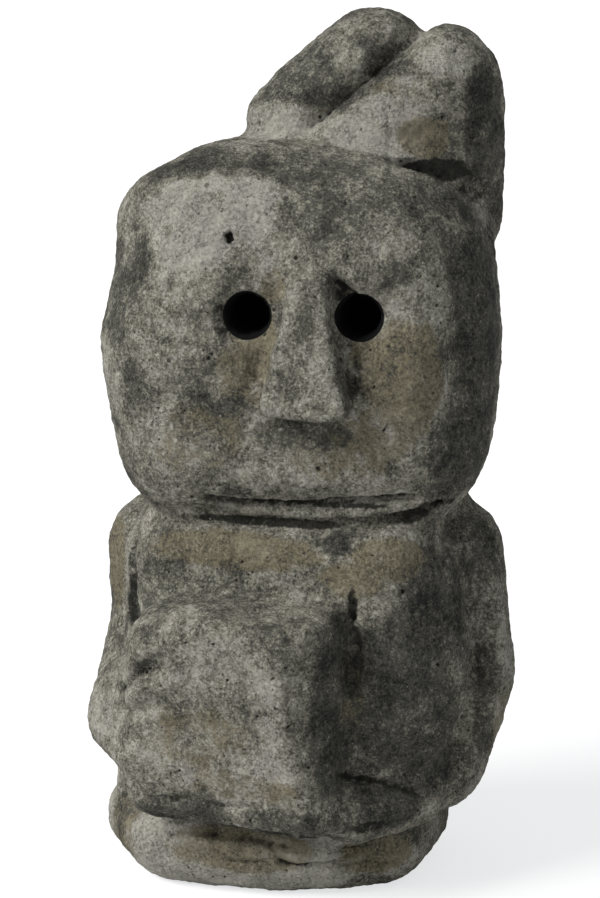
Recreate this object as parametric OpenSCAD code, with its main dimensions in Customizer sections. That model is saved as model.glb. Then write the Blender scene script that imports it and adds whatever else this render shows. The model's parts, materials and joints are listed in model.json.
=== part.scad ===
// Squat guardian figure carved from one block of volcanic stone.
// The stone is divided along its carved grooves into named masses that meet face to face.
// Millimetres, +Z up, the figure faces -Y. Origin: middle of the bounding box, on the ground.

/* [Head] */
// Width of the head across the cheeks
head_w = 162; // [154:1:170]
// Depth of the head from the face to the nape
head_d = 124; // [116:1:132]
// Height of the middle of the head above the ground
head_z = 232; // [228:1:236]
// Angle by which the head is turned towards the figure's left shoulder
head_turn = 9; // [0:1:15]
// Thickness of the flat face mass in front of the skull
face_t = 34; // [28:1:40]

/* [Eyes] */
// Diameter of each drilled eye socket
eye_d = 18.5; // [14:0.5:22]
// Distance between the middles of the eye sockets
eye_gap = 44; // [43:1:48]
// Height of the eye sockets above the ground
eye_z = 245; // [243:1:250]
// Distance of the eyes' middle from the middle of the face, to the figure's left
eye_shift = 8; // [6:1:12]

/* [Nose and mouth] */
// Height of the wedge-shaped nose
nose_h = 56; // [48:1:62]
// Width of the nose at the nostrils
nose_w = 33; // [29:1:36]
// Width of the nose at the brow
brow_w = 18; // [16:1:20]
// Distance that the nose stands proud of the face
nose_proud = 12; // [8:1:15]
// Width of the mouth slit and of the lip below it
mouth_w = 84; // [70:1:92]
// Height of the mouth slit above the ground
mouth_z = 170; // [168:1:172]

/* [Topknot] */
// Height of the top of the left lobe of hair, which is the figure's full height
top_z = 362; // [356:1:366]
// Radius of the lobes of hair
lobe_r = 25; // [22:0.5:27]

/* [Body] */
// Width over both arms at the belly
body_w = 180; // [170:1:190]
// Depth of the torso
body_d = 108; // [96:1:116]
// Height of the groove between the head and the shoulders
neck_z = 160; // [158:1:162]
// Radius of an upper arm
arm_r = 24; // [20:1:26]

/* [Held block] */
// Width of the block held in front of the belly
block_w = 84; // [76:1:88]
// Height of the held block above the base
block_h = 99; // [92:1:104]
// Distance by which the block's front face leans back towards its foot
block_lean = 11; // [6:1:14]
// Distance from the torso's middle to the block's front face
block_reach = 87; // [80:1:92]
// Radius of the block's worn edges
block_edge_r = 9; // [6:1:12]

/* [Base] */
// Height of the base up to the crack below the block
base_h = 31; // [27:1:34]
// Width of the base
base_w = 142; // [134:1:148]
// Amount by which the worn underside is smaller than the base, all round
base_wear = 10; // [6:1:12]

/* [Hidden] */
$fn = 36;
stone = "dimgray";
pale_stone = "gray";
dark_stone = "#4a4a48";

// The figure's axis stands here, so that the bounding box is centred on the origin
figure_at = [-1.5, 10.1, 0];
// The base and the block stand a little to the figure's right of that axis, and the head to its left
base_at = [-10, 0, 0];
block_x = -7;
head_x = 1;
// The nose and the mouth stand off the middle of the eyes by these distances, to the figure's left
nose_shift = 1;
mouth_shift = -6;
// The left arm ends and its hand begins at this upright plane across the body
left_wrist_y = -27;
finger_count = 3;
half_w = body_w / 2;
eye_r = eye_d / 2;
// The face meets the skull at this plane, measured forwards from the head's own axis
face_back = -head_d / 2 + face_t;
// Longer than anything in the figure
far = 400;

// Draws its children about the figure's axis
module on_axis() {
    translate(figure_at) children();
}

// Draws its children about the head's own turned axis
module on_head() {
    on_axis() translate([head_x, 0, 0]) rotate([0, 0, head_turn]) children();
}

// A ball at a place, the corner of every rounded mass
module ball(at, r) {
    translate(at) sphere(r);
}

// All the space on one side of a level: above it, or below it
module above(z) {
    translate([-far, -far, z]) cube(2 * far);
}

module below(z) {
    translate([-far, -far, z - 2 * far]) cube(2 * far);
}

// All the space in front of an upright plane across the body
module in_front_of(y) {
    on_axis() translate([-far, y - 2 * far, -far]) cube(2 * far);
}

// The whole barrel-shaped head, from the crown down past the neck groove
module head_mass() {
    crown_r = 48;
    cheek_r = 48;
    jaw_r = 34;
    on_head() hull() for (sx = [-1, 1], sy = [-1, 1]) {
        ball([sx * (head_w / 2 - crown_r - 9) + 6, sy * (head_d / 2 - crown_r - 4), head_z + 28],
            crown_r);
        ball([sx * (head_w / 2 - cheek_r), sy * (head_d / 2 - cheek_r), head_z - 4], cheek_r);
        ball([sx * (head_w / 2 - jaw_r - 9), sy * (head_d / 2 - jaw_r - 6), head_z - 42], jaw_r);
    }
}

// The space in front of the joint between the face and the skull
module face_space() {
    on_head() translate([-far, face_back - 2 * far, 0]) cube(2 * far);
}

// The band of lip and chin below the mouth slit
module lip_space() {
    lip_x = eye_shift + mouth_shift - mouth_w / 2;
    on_head() translate([lip_x, -head_d, neck_z]) cube([mouth_w, head_d - 35, mouth_z - neck_z]);
}

module torso_mass() {
    hip_r = 40;
    belly_r = 44;
    chest_r = 36;
    on_axis() hull() for (sx = [-1, 1], sy = [-1, 1]) {
        ball([sx * (half_w - 20 - chest_r), sy * (body_d / 2 - chest_r), neck_z - 24], chest_r);
        ball([sx * (half_w - 16 - belly_r) + 2, sy * (body_d / 2 - belly_r), 84], belly_r);
        ball([sx * (half_w - 24 - hip_r) - 2, sy * (body_d / 2 - hip_r), 52], hip_r);
    }
}

// A limb as a chain of balls, each joined to the next: [place, radius] pairs
module limb(stations) {
    for (i = [0 : len(stations) - 2])
        hull() {
            ball(stations[i][0], stations[i][1]);
            ball(stations[i + 1][0], stations[i + 1][1]);
        }
}

module block_mass() {
    r = block_edge_r;
    on_axis() hull() for (x = [block_x - block_w / 2 + r, block_x + block_w / 2 - r]) {
        ball([x, -20, base_h + block_h - r], r);
        ball([x, -block_reach + r, base_h + block_h - r], r);
        ball([x, -block_reach + block_lean + r, base_h + r + 4], r);
        ball([x, -20, base_h + r], r);
    }
}

module base() {
    rx = base_w / 2;
    corner_r = 30;
    color(dark_stone) on_axis() translate(base_at) intersection() {
        hull() for (at = [[-rx + 2, -26], [-rx + 24, -53], [rx - 62, -52], [rx, -24],
                          [rx, 24], [rx - 24, 52], [-rx + 22, 50], [-rx + 2, 28]]) {
            inward = corner_r / norm(at);
            translate([at[0] * (1 - inward), at[1] * (1 - inward), 0])
                cylinder(h = base_h, r1 = corner_r - base_wear, r2 = corner_r - 4);
            translate([at[0] * (1 - inward), at[1] * (1 - inward), base_h * 0.4])
                cylinder(h = base_h * 0.3, r = corner_r);
        }
        below(base_h);
    }
}

module torso() {
    color(stone) intersection() {
        torso_mass();
        above(base_h);
        below(neck_z);
    }
}

module right_arm() {
    color(stone) difference() {
        intersection() {
            on_axis() limb([
                [[-half_w + arm_r + 1, 4, neck_z - 27], arm_r],
                [[-half_w + arm_r + 1, 6, 96], arm_r],
                [[-half_w + arm_r, -20, 76], arm_r - 4]]);
            below(neck_z);
        }
        torso_mass();
    }
}

module left_arm() {
    color(stone) difference() {
        intersection() {
            on_axis() limb([
                [[half_w - arm_r - 6, 4, neck_z - 18], arm_r],
                [[half_w - arm_r + 1, 2, 88], arm_r + 1],
                [[half_w - arm_r - 4, -12, 57], arm_r - 1]]);
            below(neck_z);
            above(base_h);
        }
        torso_mass();
        in_front_of(left_wrist_y);
    }
}

module right_hand() {
    finger_r = 7.5;
    color(pale_stone) difference() {
        on_axis() {
            hull() {
                ball([-half_w + 25, -44, 80], 13);
                ball([-half_w + 25, -52, 70], 12);
            }
            for (i = [0 : finger_count - 1])
                hull() {
                    ball([-half_w + 24, -54 - 2 * i, 86 - 10 * i], finger_r);
                    ball([block_x - block_w / 2 + 2, -block_reach + 14, 98 - 14 * i], finger_r - 1);
                }
        }
        block_mass();
        torso_mass();
        right_arm();
    }
}

module left_hand() {
    palm_r = 13;
    color(dark_stone) difference() {
        intersection() {
            on_axis() hull() {
                ball([60, -36, base_h + palm_r], palm_r);
                ball([48, -32, base_h + palm_r + 6], palm_r);
                ball([block_x + block_w / 2 + 3, -56, base_h + palm_r - 1], palm_r - 1);
            }
            in_front_of(left_wrist_y);
        }
        block_mass();
        torso_mass();
    }
}

module held_block() {
    color(pale_stone) difference() {
        block_mass();
        torso_mass();
    }
}

module skull() {
    color(stone) difference() {
        intersection() {
            head_mass();
            above(neck_z);
        }
        face_space();
    }
}

module face() {
    color(pale_stone) difference() {
        intersection() {
            head_mass();
            face_space();
            above(neck_z);
        }
        lip_space();
        for (side = [-1, 1])
            on_head() translate([eye_shift + side * eye_gap / 2, face_back + 1, eye_z])
                rotate([90, 0, 0]) cylinder(h = head_d, r = eye_r, $fn = 48);
    }
}

module nose() {
    color(pale_stone) difference() {
        on_head() translate([eye_shift + nose_shift, 0, 0]) hull() {
            translate([-nose_w / 2, -head_d / 2 - nose_proud, eye_z + 19 - nose_h]) cube([nose_w, 30, 4]);
            translate([-brow_w / 2, -head_d / 2 - 1, eye_z + 15]) cube([brow_w, 20, 4]);
        }
        head_mass();
    }
}

module lower_lip() {
    color(dark_stone) intersection() {
        head_mass();
        lip_space();
    }
}

module left_lobe_mass() {
    on_axis() hull() {
        ball([-9, 15, top_z - 60], lobe_r - 6);
        ball([-1, 18, top_z - 46], lobe_r);
        ball([24, 24, top_z - lobe_r + 1], lobe_r - 1);
        ball([36, 26, top_z - lobe_r - 4], lobe_r - 4);
    }
}

// The parting between the two lobes, a plane that leans to the figure's left
module right_of_parting() {
    on_axis() translate([18, 0, top_z - 36]) rotate([0, -48, 0])
        translate([-far, -far, -2 * far]) cube(2 * far);
}

module topknot_left() {
    color(stone) difference() {
        left_lobe_mass();
        right_of_parting();
        head_mass();
    }
}

module topknot_right() {
    color(pale_stone) difference() {
        intersection() {
            on_axis() hull() {
                ball([20, 10, top_z - 52], 20);
                ball([53, 26, top_z - 30], lobe_r);
                ball([57, 30, top_z - 60], lobe_r - 4);
                ball([64, 38, top_z - 88], 11);
            }
            right_of_parting();
        }
        head_mass();
    }
}

base();
torso();
right_arm();
left_arm();
right_hand();
left_hand();
held_block();
skull();
face();
nose();
lower_lip();
topknot_left();
topknot_right();
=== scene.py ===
import json
import math

import bpy
import numpy as np
from bpy.props import FloatProperty, FloatVectorProperty, PointerProperty
from mathutils import Matrix, Vector
from mathutils.bvhtree import BVHTree
from mathutils.kdtree import KDTree


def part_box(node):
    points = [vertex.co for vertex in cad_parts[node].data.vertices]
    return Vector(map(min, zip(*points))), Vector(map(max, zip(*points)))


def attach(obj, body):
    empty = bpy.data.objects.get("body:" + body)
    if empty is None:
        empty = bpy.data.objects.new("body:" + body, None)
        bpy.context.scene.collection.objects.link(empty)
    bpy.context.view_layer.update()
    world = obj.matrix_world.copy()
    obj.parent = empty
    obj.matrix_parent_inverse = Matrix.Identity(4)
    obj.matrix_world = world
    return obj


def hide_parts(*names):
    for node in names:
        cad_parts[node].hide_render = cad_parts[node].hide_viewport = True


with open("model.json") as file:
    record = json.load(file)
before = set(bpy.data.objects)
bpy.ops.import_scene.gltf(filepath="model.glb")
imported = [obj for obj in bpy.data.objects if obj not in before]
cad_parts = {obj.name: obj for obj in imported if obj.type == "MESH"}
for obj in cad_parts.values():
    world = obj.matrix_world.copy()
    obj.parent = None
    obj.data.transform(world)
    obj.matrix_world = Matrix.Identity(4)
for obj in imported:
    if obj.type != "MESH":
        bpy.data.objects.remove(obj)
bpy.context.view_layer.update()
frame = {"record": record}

bl_info = {
    "name": "Carved Stone Figure",
    "version": (1, 0, 0),
    "blender": (4, 5, 0),
    "location": "View3D > Sidebar > Figure",
    "description": "Carves a squat volcanic stone figure out of joined masses, weathers it and divides it",
    "category": "Add Mesh",
}

MM = 0.001
STONE = "pitted_volcanic_stone"
BODY = "root"
FORM = "carved_form"


# ---------------------------------------------------------------- places, from the frame

MOUNTS = {m["name"]: m for m in frame["record"]["mounts"]}
EYES = [MOUNTS["right_eye_socket"], MOUNTS["left_eye_socket"]]
FACING = Vector(EYES[0]["axis"])
HEAD_TURN = math.atan2(FACING.x, -FACING.y)
TORSO_LOW, TORSO_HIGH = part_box("torso")
# The torso's belly swells 2 mm further to the figure's left than to its right
AXIS = Vector(((TORSO_LOW.x + TORSO_HIGH.x) / 2 - 2 * MM, (TORSO_LOW.y + TORSO_HIGH.y) / 2, 0))
HEAD_AXIS = AXIS + Vector((1 * MM, 0, 0))
NECK_Z = TORSO_HIGH.z / MM
CRACK_Z = TORSO_LOW.z / MM
# How far in front of the head's axis the face meets the skull
FACE_BACK = 28
# Where an eye socket is painted dark as shade, measured ahead of its mount: up from the floor, fading, and
# gone by the rim
SOCKET_FLOOR, SOCKET_FADE, SOCKET_RIM = -18, 14, 18
# How far past the mount's radius the painted shade reaches
SOCKET_MARGIN = 0.4
# How much weathering widens the rim of an eye socket
RIM_WEAR = 0.9
# Length of the drill, which reaches well past the face
DRILL_LENGTH = 60
# The mouth slit's height at its middle and at the corner on the figure's left
MOUTH_Z, MOUTH_CORNER_Z = 168.6, 176
# The hair lies wholly above this height
HAIR_LOW_Z = NECK_Z + 40
# Longer than anything in the figure
FAR = 300
# Edge of the rough skin's faces
ROUGH_GRAIN = 2.2
# Lumps of the worn stone: size across and height
LUMPS = ((13, 2.0), (5.5, 1.2), (2.6, 0.9))
# Mottling of the stone: size, detail, where the noise starts, and strength
MOTTLING = ((20, 4.0, 3.0, 1.8), (6.5, 4.0, 60.0, 1.1), (2.4, 4.0, 30.0, 1.4), (0.9, 2.0, 75.0, 1.5))
# Pits of the stone: spacing, radius, share of cells that have one, and depth
PITS = ((22, 3.4, 0.16, 1.2), (11, 1.9, 0.3, 1.2), (6, 1.25, 0.34, 0.9))


def on_body(x, y, z):
    """A place in millimetres from the figure's axis, in metres in the frame."""
    return AXIS + Vector((x, y, z)) * MM


def on_head(x, y, z):
    """A place in millimetres from the head's own turned axis, in metres in the frame."""
    return HEAD_AXIS + Matrix.Rotation(HEAD_TURN, 3, "Z") @ Vector((x, y, z)) * MM


# ---------------------------------------------------------------- the carved masses

# Each mass is the skin round a few balls: x, y, z and radius in millimetres
HEAD_BALLS = [
    (-25, -10, 262, 48), (30, -10, 260, 48), (-25, 10, 262, 48), (30, 10, 260, 48),
    (-34, -14, 228, 48), (33, -14, 228, 48), (-34, 14, 228, 48), (33, 14, 228, 48),
    (-39, -22, 190, 36), (42, -21, 190, 36), (-39, 22, 190, 36), (42, 22, 190, 36),
]
TORSO_BALLS = [
    (-34, -18, 134, 36), (36, -18, 136, 36), (-34, 18, 134, 36), (36, 18, 136, 36),
    (-28, -10, 84, 44), (38, -10, 86, 44), (-28, 10, 84, 44), (38, 10, 86, 44),
    (-32, -10, 50, 42), (26, -14, 52, 40), (-32, 14, 50, 42), (26, 14, 52, 40),
]
RIGHT_ARM_BALLS = [(-65, 4, 133, 24), (-65, 6, 96, 24), (-66, -20, 76, 20)]
LEFT_ARM_BALLS = [(62, 4, 140, 24), (67, 2, 88, 25), (60, -10, 56, 24)]
BLOCK_BALLS = [
    (-34, -24, 112, 16), (26, -20, 122, 8), (-36, -68, 112, 16), (28, -79, 122, 8), (-14, -77, 121, 9),
    (-42, -62, 50, 14), (27, -69, 44, 8), (-36, -20, 44, 14), (26, -20, 40, 9),
]
RIGHT_HAND_BALLS = [(-64, -42, 80, 14), (-65, -52, 70, 12), (-42, -60, 100, 12), (-46, -66, 66, 14)]
HIP_BALLS = [
    (-62, -20, 52, 14), (-62, -24, 22, 14), (-38, -40, 48, 14), (-36, -42, 24, 14), (-62, 16, 52, 14),
]
LEFT_HAND_BALLS = [(56, -30, 46, 15), (48, -34, 50, 14), (38, -52, 42, 13)]
LEFT_LOBE_BALLS = [(-9, 15, 302, 20), (-1, 18, 316, 25), (24, 24, 338.5, 24), (34, 26, 334, 21)]
RIGHT_LOBE_BALLS = [(18, 8, 308, 20), (51, 24, 331.5, 25), (57, 28, 302, 21), (64, 38, 274, 11)]
NOSE_HEIGHT = (206, 264)
# The base's rounded slab: middle height, corner radius and depth of each step, worn smaller under its foot
BASE_STEPS = ((20, 22, 12), (17, 16, 26), (16, 9, 32))
BASE_OUTLINE = [
    (-82, -22), (-60, -52), (-14, -58), (34, -44), (58, -22), (60, 22), (38, 50), (-58, 50), (-80, 26),
]


def deselect():
    bpy.ops.object.select_all(action="DESELECT")


def only(obj):
    """Makes obj the one selected, active object."""
    deselect()
    obj.select_set(True)
    bpy.context.view_layer.objects.active = obj
    return obj


def join(name, parts):
    """Joins some objects into one, with its place in its mesh."""
    deselect()
    for part in parts:
        part.select_set(True)
    bpy.context.view_layer.objects.active = parts[0]
    if len(parts) > 1:
        bpy.ops.object.join()
    bpy.ops.object.transform_apply(location=True, rotation=True, scale=True)
    joined = bpy.context.object
    joined.name = joined.data.name = name
    return joined


def wrap(name, parts):
    """The tight skin round some objects, as one closed mesh."""
    joined = join(name, parts)
    bpy.ops.object.mode_set(mode="EDIT")
    bpy.ops.mesh.select_all(action="SELECT")
    bpy.ops.mesh.convex_hull()
    bpy.ops.object.mode_set(mode="OBJECT")
    return joined


def skin_round(name, balls, at=on_body, grow=0.0):
    """The tight skin round a group of balls, each grown by some millimetres."""
    parts = []
    for x, y, z, r in balls:
        bpy.ops.mesh.primitive_uv_sphere_add(segments=32, ring_count=16, radius=(r + grow) * MM,
                                             location=at(x, y, z))
        parts.append(bpy.context.object)
    return wrap(name, parts)


def limb(name, balls, at=on_body):
    """A chain of balls, each wrapped with the next."""
    return join(name, [skin_round(name, pair, at) for pair in zip(balls, balls[1:])])


def box_between(name, low, high, at=on_body):
    """A box between two corners in millimetres, turned with the head or the body."""
    bpy.ops.mesh.primitive_cube_add(size=2)
    box = bpy.context.object
    corners = [at(*(high[i] if v.co[i] > 0 else low[i] for i in range(3))) for v in box.data.vertices]
    for vertex, corner in zip(box.data.vertices, corners):
        vertex.co = corner
    return join(name, [box])


def modify(obj, kind, **settings):
    """Adds a modifier, sets it and applies it."""
    only(obj)
    mod = obj.modifiers.new(kind.lower(), kind)
    for key, value in settings.items():
        setattr(mod, key, value)
    bpy.ops.object.modifier_apply(modifier=mod.name)
    return obj


def cut(obj, tool, operation):
    """Cuts obj by a tool, which stays."""
    return modify(obj, "BOOLEAN", operation=operation, object=tool, solver="MANIFOLD")


def copy_of(obj, name):
    only(obj)
    bpy.ops.object.duplicate()
    twin = bpy.context.object
    twin.name = twin.data.name = name
    return twin


def discard(*objs):
    for obj in objs:
        bpy.data.objects.remove(obj)


# ---------------------------------------------------------------- sculpting strokes

def points_of(obj):
    co = np.empty(len(obj.data.vertices) * 3, np.float32)
    obj.data.vertices.foreach_get("co", co)
    return co.reshape(-1, 3)


def put_points(obj, co):
    obj.data.vertices.foreach_set("co", co.astype(np.float32).ravel())
    obj.data.update()


def snapped(tree, places, at):
    """The nearest places on the skin, and the skin's normals there."""
    hits = [tree.find_nearest(at(*p)) for p in places]
    return np.array([h[0] for h in hits]), np.array([h[1] for h in hits])


def smooth_route(ends, steps=8):
    """A smooth curve through some places, as evenly numbered points."""
    p = np.array(ends, float)
    p = np.vstack([2 * p[0] - p[1], p, 2 * p[-1] - p[-2]])
    t = np.linspace(0, 1, steps, endpoint=False)[:, None]
    spans = [
        0.5 * (2 * b + (c - a) * t + (2 * a - 5 * b + 4 * c - d) * t**2 + (3 * b - a - 3 * c + d) * t**3)
        for a, b, c, d in zip(p, p[1:], p[2:], p[3:])
    ]
    return np.vstack(spans + [p[-2:-1]])


def strokes(obj, marks, at=on_body):
    """Draws strokes on the skin: each is (route, width, depth, fade), with the sizes in millimetres.
    A stroke is a round valley pressed straight into the skin, or a ridge where the depth is negative.
    Its ends fade out over that share of its length."""
    tree = BVHTree.FromObject(obj, bpy.context.evaluated_depsgraph_get())
    co = points_of(obj)
    for ends, width, depth, fade in marks:
        route, normals = snapped(tree, smooth_route(ends), at)
        low, high = route.min(0) - width * MM, route.max(0) + width * MM
        near = np.nonzero(((co > low) & (co < high)).all(1))[0]
        best = np.full(len(near), np.inf)
        along, out = np.zeros(len(near)), np.zeros((len(near), 3))
        for i, (a, b) in enumerate(zip(route, route[1:])):
            span = b - a
            t = np.clip((co[near] - a) @ span / max(span @ span, 1e-12), 0, 1)
            gap = np.linalg.norm(co[near] - a - t[:, None] * span, axis=1)
            closer = gap < best
            best[closer] = gap[closer]
            along[closer] = (i + t[closer]) / (len(route) - 1)
            out[closer] = normals[i]
        share = np.clip(1 - (best / (width * MM)) ** 2, 0, 1) ** 2
        if fade:
            share *= np.clip(np.minimum(along, 1 - along) / fade, 0, 1) ** 0.7
        co[near] -= (out * (share * depth * MM)[:, None]).astype(np.float32)
    put_points(obj, co)


def swells(obj, marks, at=on_body):
    """Pushes the skin like clay: each mark is (place, reach, push), with a reach along each axis."""
    co = points_of(obj)
    for place, reach, push in marks:
        centre = at(*place)
        turned = np.array(at(*push) - at(0, 0, 0))
        gap = (co - np.array(centre)) / (np.array(reach) * MM)
        share = np.clip(1 - (gap**2).sum(1), 0, 1) ** 2
        co += (share[:, None] * turned).astype(np.float32)
    put_points(obj, co)


def planes(obj, marks, at=on_body):
    """Rubs the skin flat: each mark is (place, direction, reach, thickness, strength), and what stands
    past the plane there, up to that thickness, is worn down."""
    co = points_of(obj)
    for place, facing, reach, thickness, strength in marks:
        centre = np.array(at(*place))
        normal = np.array((at(*facing) - at(0, 0, 0)).normalized())
        out = (co - centre) @ normal
        gap = np.linalg.norm((co - centre) - out[:, None] * normal, axis=1) / (reach * MM)
        share = np.clip(1 - gap**2, 0, 1) * strength * np.clip(2 - out / (thickness * MM), 0, 1)
        co -= ((np.clip(out, 0, None) * share)[:, None] * normal).astype(np.float32)
    put_points(obj, co)


# ---------------------------------------------------------------- node helpers

class Graph:
    """A few short words for making nodes and joining them."""

    def __init__(self, tree):
        self.tree = tree

    def add(self, kind, inputs=None, **settings):
        node = self.tree.nodes.new(kind)
        for key, value in settings.items():
            setattr(node, key, value)
        for key, value in (inputs or {}).items():
            self.feed(node.inputs[key], value)
        return node

    def feed(self, socket, value):
        if isinstance(value, bpy.types.NodeSocket):
            self.tree.links.new(value, socket)
        else:
            socket.default_value = value

    def math(self, operation, a, b=0.0, c=0.0):
        return self.add("ShaderNodeMath", {0: a, 1: b, 2: c}, operation=operation).outputs[0]

    def noise(self, where, size, detail=3.0, rough=0.55, shift=0.0):
        """Soft noise whose lumps are about size millimetres across."""
        moved = self.add("ShaderNodeVectorMath", {0: where, 1: (shift, shift * 0.7, -shift)}, operation="ADD")
        node = self.add("ShaderNodeTexNoise", {
            "Vector": moved.outputs[0], "Scale": 1 / size, "Detail": detail, "Roughness": rough,
        })
        return node.outputs[0]

    def ramp(self, value, low, high, to_low=0.0, to_high=1.0):
        """Spreads value from low..high over to_low..to_high, smoothly."""
        node = self.add(
            "ShaderNodeMapRange",
            {"Value": value, "From Min": low, "From Max": high, "To Min": to_low, "To Max": to_high},
            interpolation_type="SMOOTHSTEP",
        )
        return node.outputs[0]

    def pits(self, where, spacing, radius, share):
        """Round holes: 1 at the middle of a pit and 0 outside. Only a share of the cells has one."""
        cells = self.add("ShaderNodeTexVoronoi", {"Vector": where, "Scale": 1 / spacing, "Randomness": 1.0})
        pick = self.add("ShaderNodeSeparateXYZ", {0: cells.outputs["Color"]}).outputs
        size = self.ramp(pick[1], 0.0, 1.0, radius / spacing * 0.45, radius / spacing)
        hole = self.math("SUBTRACT", 1.0, self.math("DIVIDE", cells.outputs["Distance"], size))
        hole = self.ramp(hole, 0.0, 0.7)
        return self.math("MULTIPLY", hole, self.math("LESS_THAN", pick[0], share))


# ---------------------------------------------------------------- the form

def block_out():
    """All the masses joined into one skin, before any fine cutting."""
    nose_low, nose_high = NOSE_HEIGHT
    nose = wrap("nose_mass", [
        box_between("nose_foot", (-5, -74, nose_low), (25, -50, nose_low + 8), on_head),
        box_between("nose_root", (2, -63, nose_high - 6), (19, -50, nose_high), on_head),
    ])
    base_parts = []
    for x, y in BASE_OUTLINE:
        inward = 1 - 22 / math.hypot(x, y)
        for middle, radius, depth in BASE_STEPS:
            bpy.ops.mesh.primitive_cylinder_add(vertices=32, radius=radius * MM, depth=depth * MM,
                                                location=on_body(x * inward, y * inward, middle))
            base_parts.append(bpy.context.object)
    form = join(FORM, [
        skin_round("head_mass", HEAD_BALLS, on_head),
        skin_round("torso_mass", TORSO_BALLS),
        limb("right_arm_mass", RIGHT_ARM_BALLS),
        limb("left_arm_mass", LEFT_ARM_BALLS),
        skin_round("block_mass", BLOCK_BALLS),
        skin_round("right_hand_mass", RIGHT_HAND_BALLS),
        skin_round("left_hand_mass", LEFT_HAND_BALLS),
        skin_round("hip_mass", HIP_BALLS),
        skin_round("left_lobe_mass", LEFT_LOBE_BALLS),
        skin_round("right_lobe_mass", RIGHT_LOBE_BALLS),
        nose,
        wrap("base_mass", base_parts),
    ])
    modify(form, "REMESH", mode="VOXEL", voxel_size=ROUGH_GRAIN * MM)
    modify(form, "SMOOTH", factor=0.5, iterations=8)
    return form


def drill_eyes(form):
    """Sinks the two eye sockets along their axes, from the face's back plane outwards.
    The drill is a little small, because weathering opens the rims."""
    for mount in EYES:
        axis, place = Vector(mount["axis"]), Vector(mount["pos_m"])
        back = place + axis * (FACE_BACK * MM - (place - HEAD_AXIS).dot(axis))
        radius = mount["dims"]["r_mm"] - RIM_WEAR
        bpy.ops.mesh.primitive_cylinder_add(vertices=64, radius=radius * MM, depth=DRILL_LENGTH * MM)
        drill = bpy.context.object
        drill.rotation_euler = axis.to_track_quat("Z", "Y").to_euler()
        drill.location = back + axis * DRILL_LENGTH / 2 * MM
        drill = join("drill", [drill])
        cut(form, drill, "DIFFERENCE")
        discard(drill)


def refine(form, grain):
    """A finer, even skin of four-sided faces."""
    modify(form, "REMESH", mode="VOXEL", voxel_size=2 * grain * MM)
    modify(form, "SMOOTH", factor=0.5, iterations=2)
    modify(form, "SUBSURF", levels=1, render_levels=1)


# Broad shaping, done on the rough skin: place, reach, push
HEAD_SWELLS = [
    ((-15, -60, 243), (20, 16, 17), (0, 5.0, 0)),       # right orbit
    ((34, -60, 243), (19, 16, 17), (0, 5.0, 0)),        # left orbit
    ((-30, -62, 222), (24, 18, 22), (0, -1.6, 0)),      # right cheek
    ((50, -56, 224), (20, 18, 26), (0, -2.2, 0)),       # left cheek
    ((36, -62, 262), (22, 14, 9), (0, -2.6, -0.6)),     # brow over the left eye
    ((-16, -60, 264), (20, 14, 9), (0, -1.6, -0.4)),    # brow over the right eye
    ((-5, -68, 213), (8, 12, 9), (-3.0, -0.6, -1.0)),   # right nostril
    ((26, -68, 213), (8, 12, 9), (2.6, -0.6, -1.0)),    # left nostril
    ((10, -62, 196), (24, 14, 8), (0, 2.4, 0)),         # hollow under the nose
    ((8, -54, 180), (46, 16, 10), (0, -2.0, 0)),        # upper lip
    ((-58, -30, 292), (26, 26, 18), (-2.4, -1.5, 1.6)),  # right temple
    ((-70, 0, 282), (30, 60, 28), (-7, 0, 2)),          # right side of the crown
]
BODY_SWELLS = [
    ((16, -50, 148), (60, 16, 9), (0, -2.2, 0)),        # collar of the chest
    ((-72, -58, 80), (14, 16, 14), (-1.5, -1.5, 0)),    # knuckles of the right hand
    ((-44, -70, 92), (22, 16, 20), (0, -3.0, 0)),       # back of the right hand
    ((-40, -72, 122), (16, 16, 12), (1.5, 1.5, -3.0)),  # rounded top corner of the block
    ((56, -46, 96), (26, 18, 34), (0, -2.4, 0)),        # belly beside the block
    ((0, 54, 100), (30, 16, 60), (0, -2.0, 0)),         # hollow of the back
    ((-4, 60, 236), (60, 16, 34), (0, 1.6, 0)),         # back of the head
    ((78, 20, 326), (16, 26, 30), (3.5, 0, 0.5)),       # side of the left lobe of hair
    ((-26, 8, 320), (16, 26, 14), (-3.5, 0, 1)),        # foot of the right lobe of hair
    ((-80, -16, 50), (14, 26, 16), (-2, 0, 0)),         # right hip
]
HEAD_PLANES = [
    ((4, -60.5, 234), (0, -1, 0), 58, 2, 0.8),               # flat face
    ((10, -73, 214), (0, -1, 0.2), 26, 6, 0.9),              # front of the nose
]
BODY_PLANES = [
    ((24, -78, 86), (1, -1.1, 0), 60, 12, 0.85),             # worn right edge of the block
    ((-4, -60, 130), (0.1, -0.2, 1), 44, 8, 0.8),            # top of the block
    ((44, -8, 318), (-0.1, -1, 0.25), 30, 6, 0.8),           # front of the left lobe of hair
    ((72, 18, 318), (1, -0.25, 0.1), 34, 6, 0.8),            # side of the left lobe of hair
]
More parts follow.
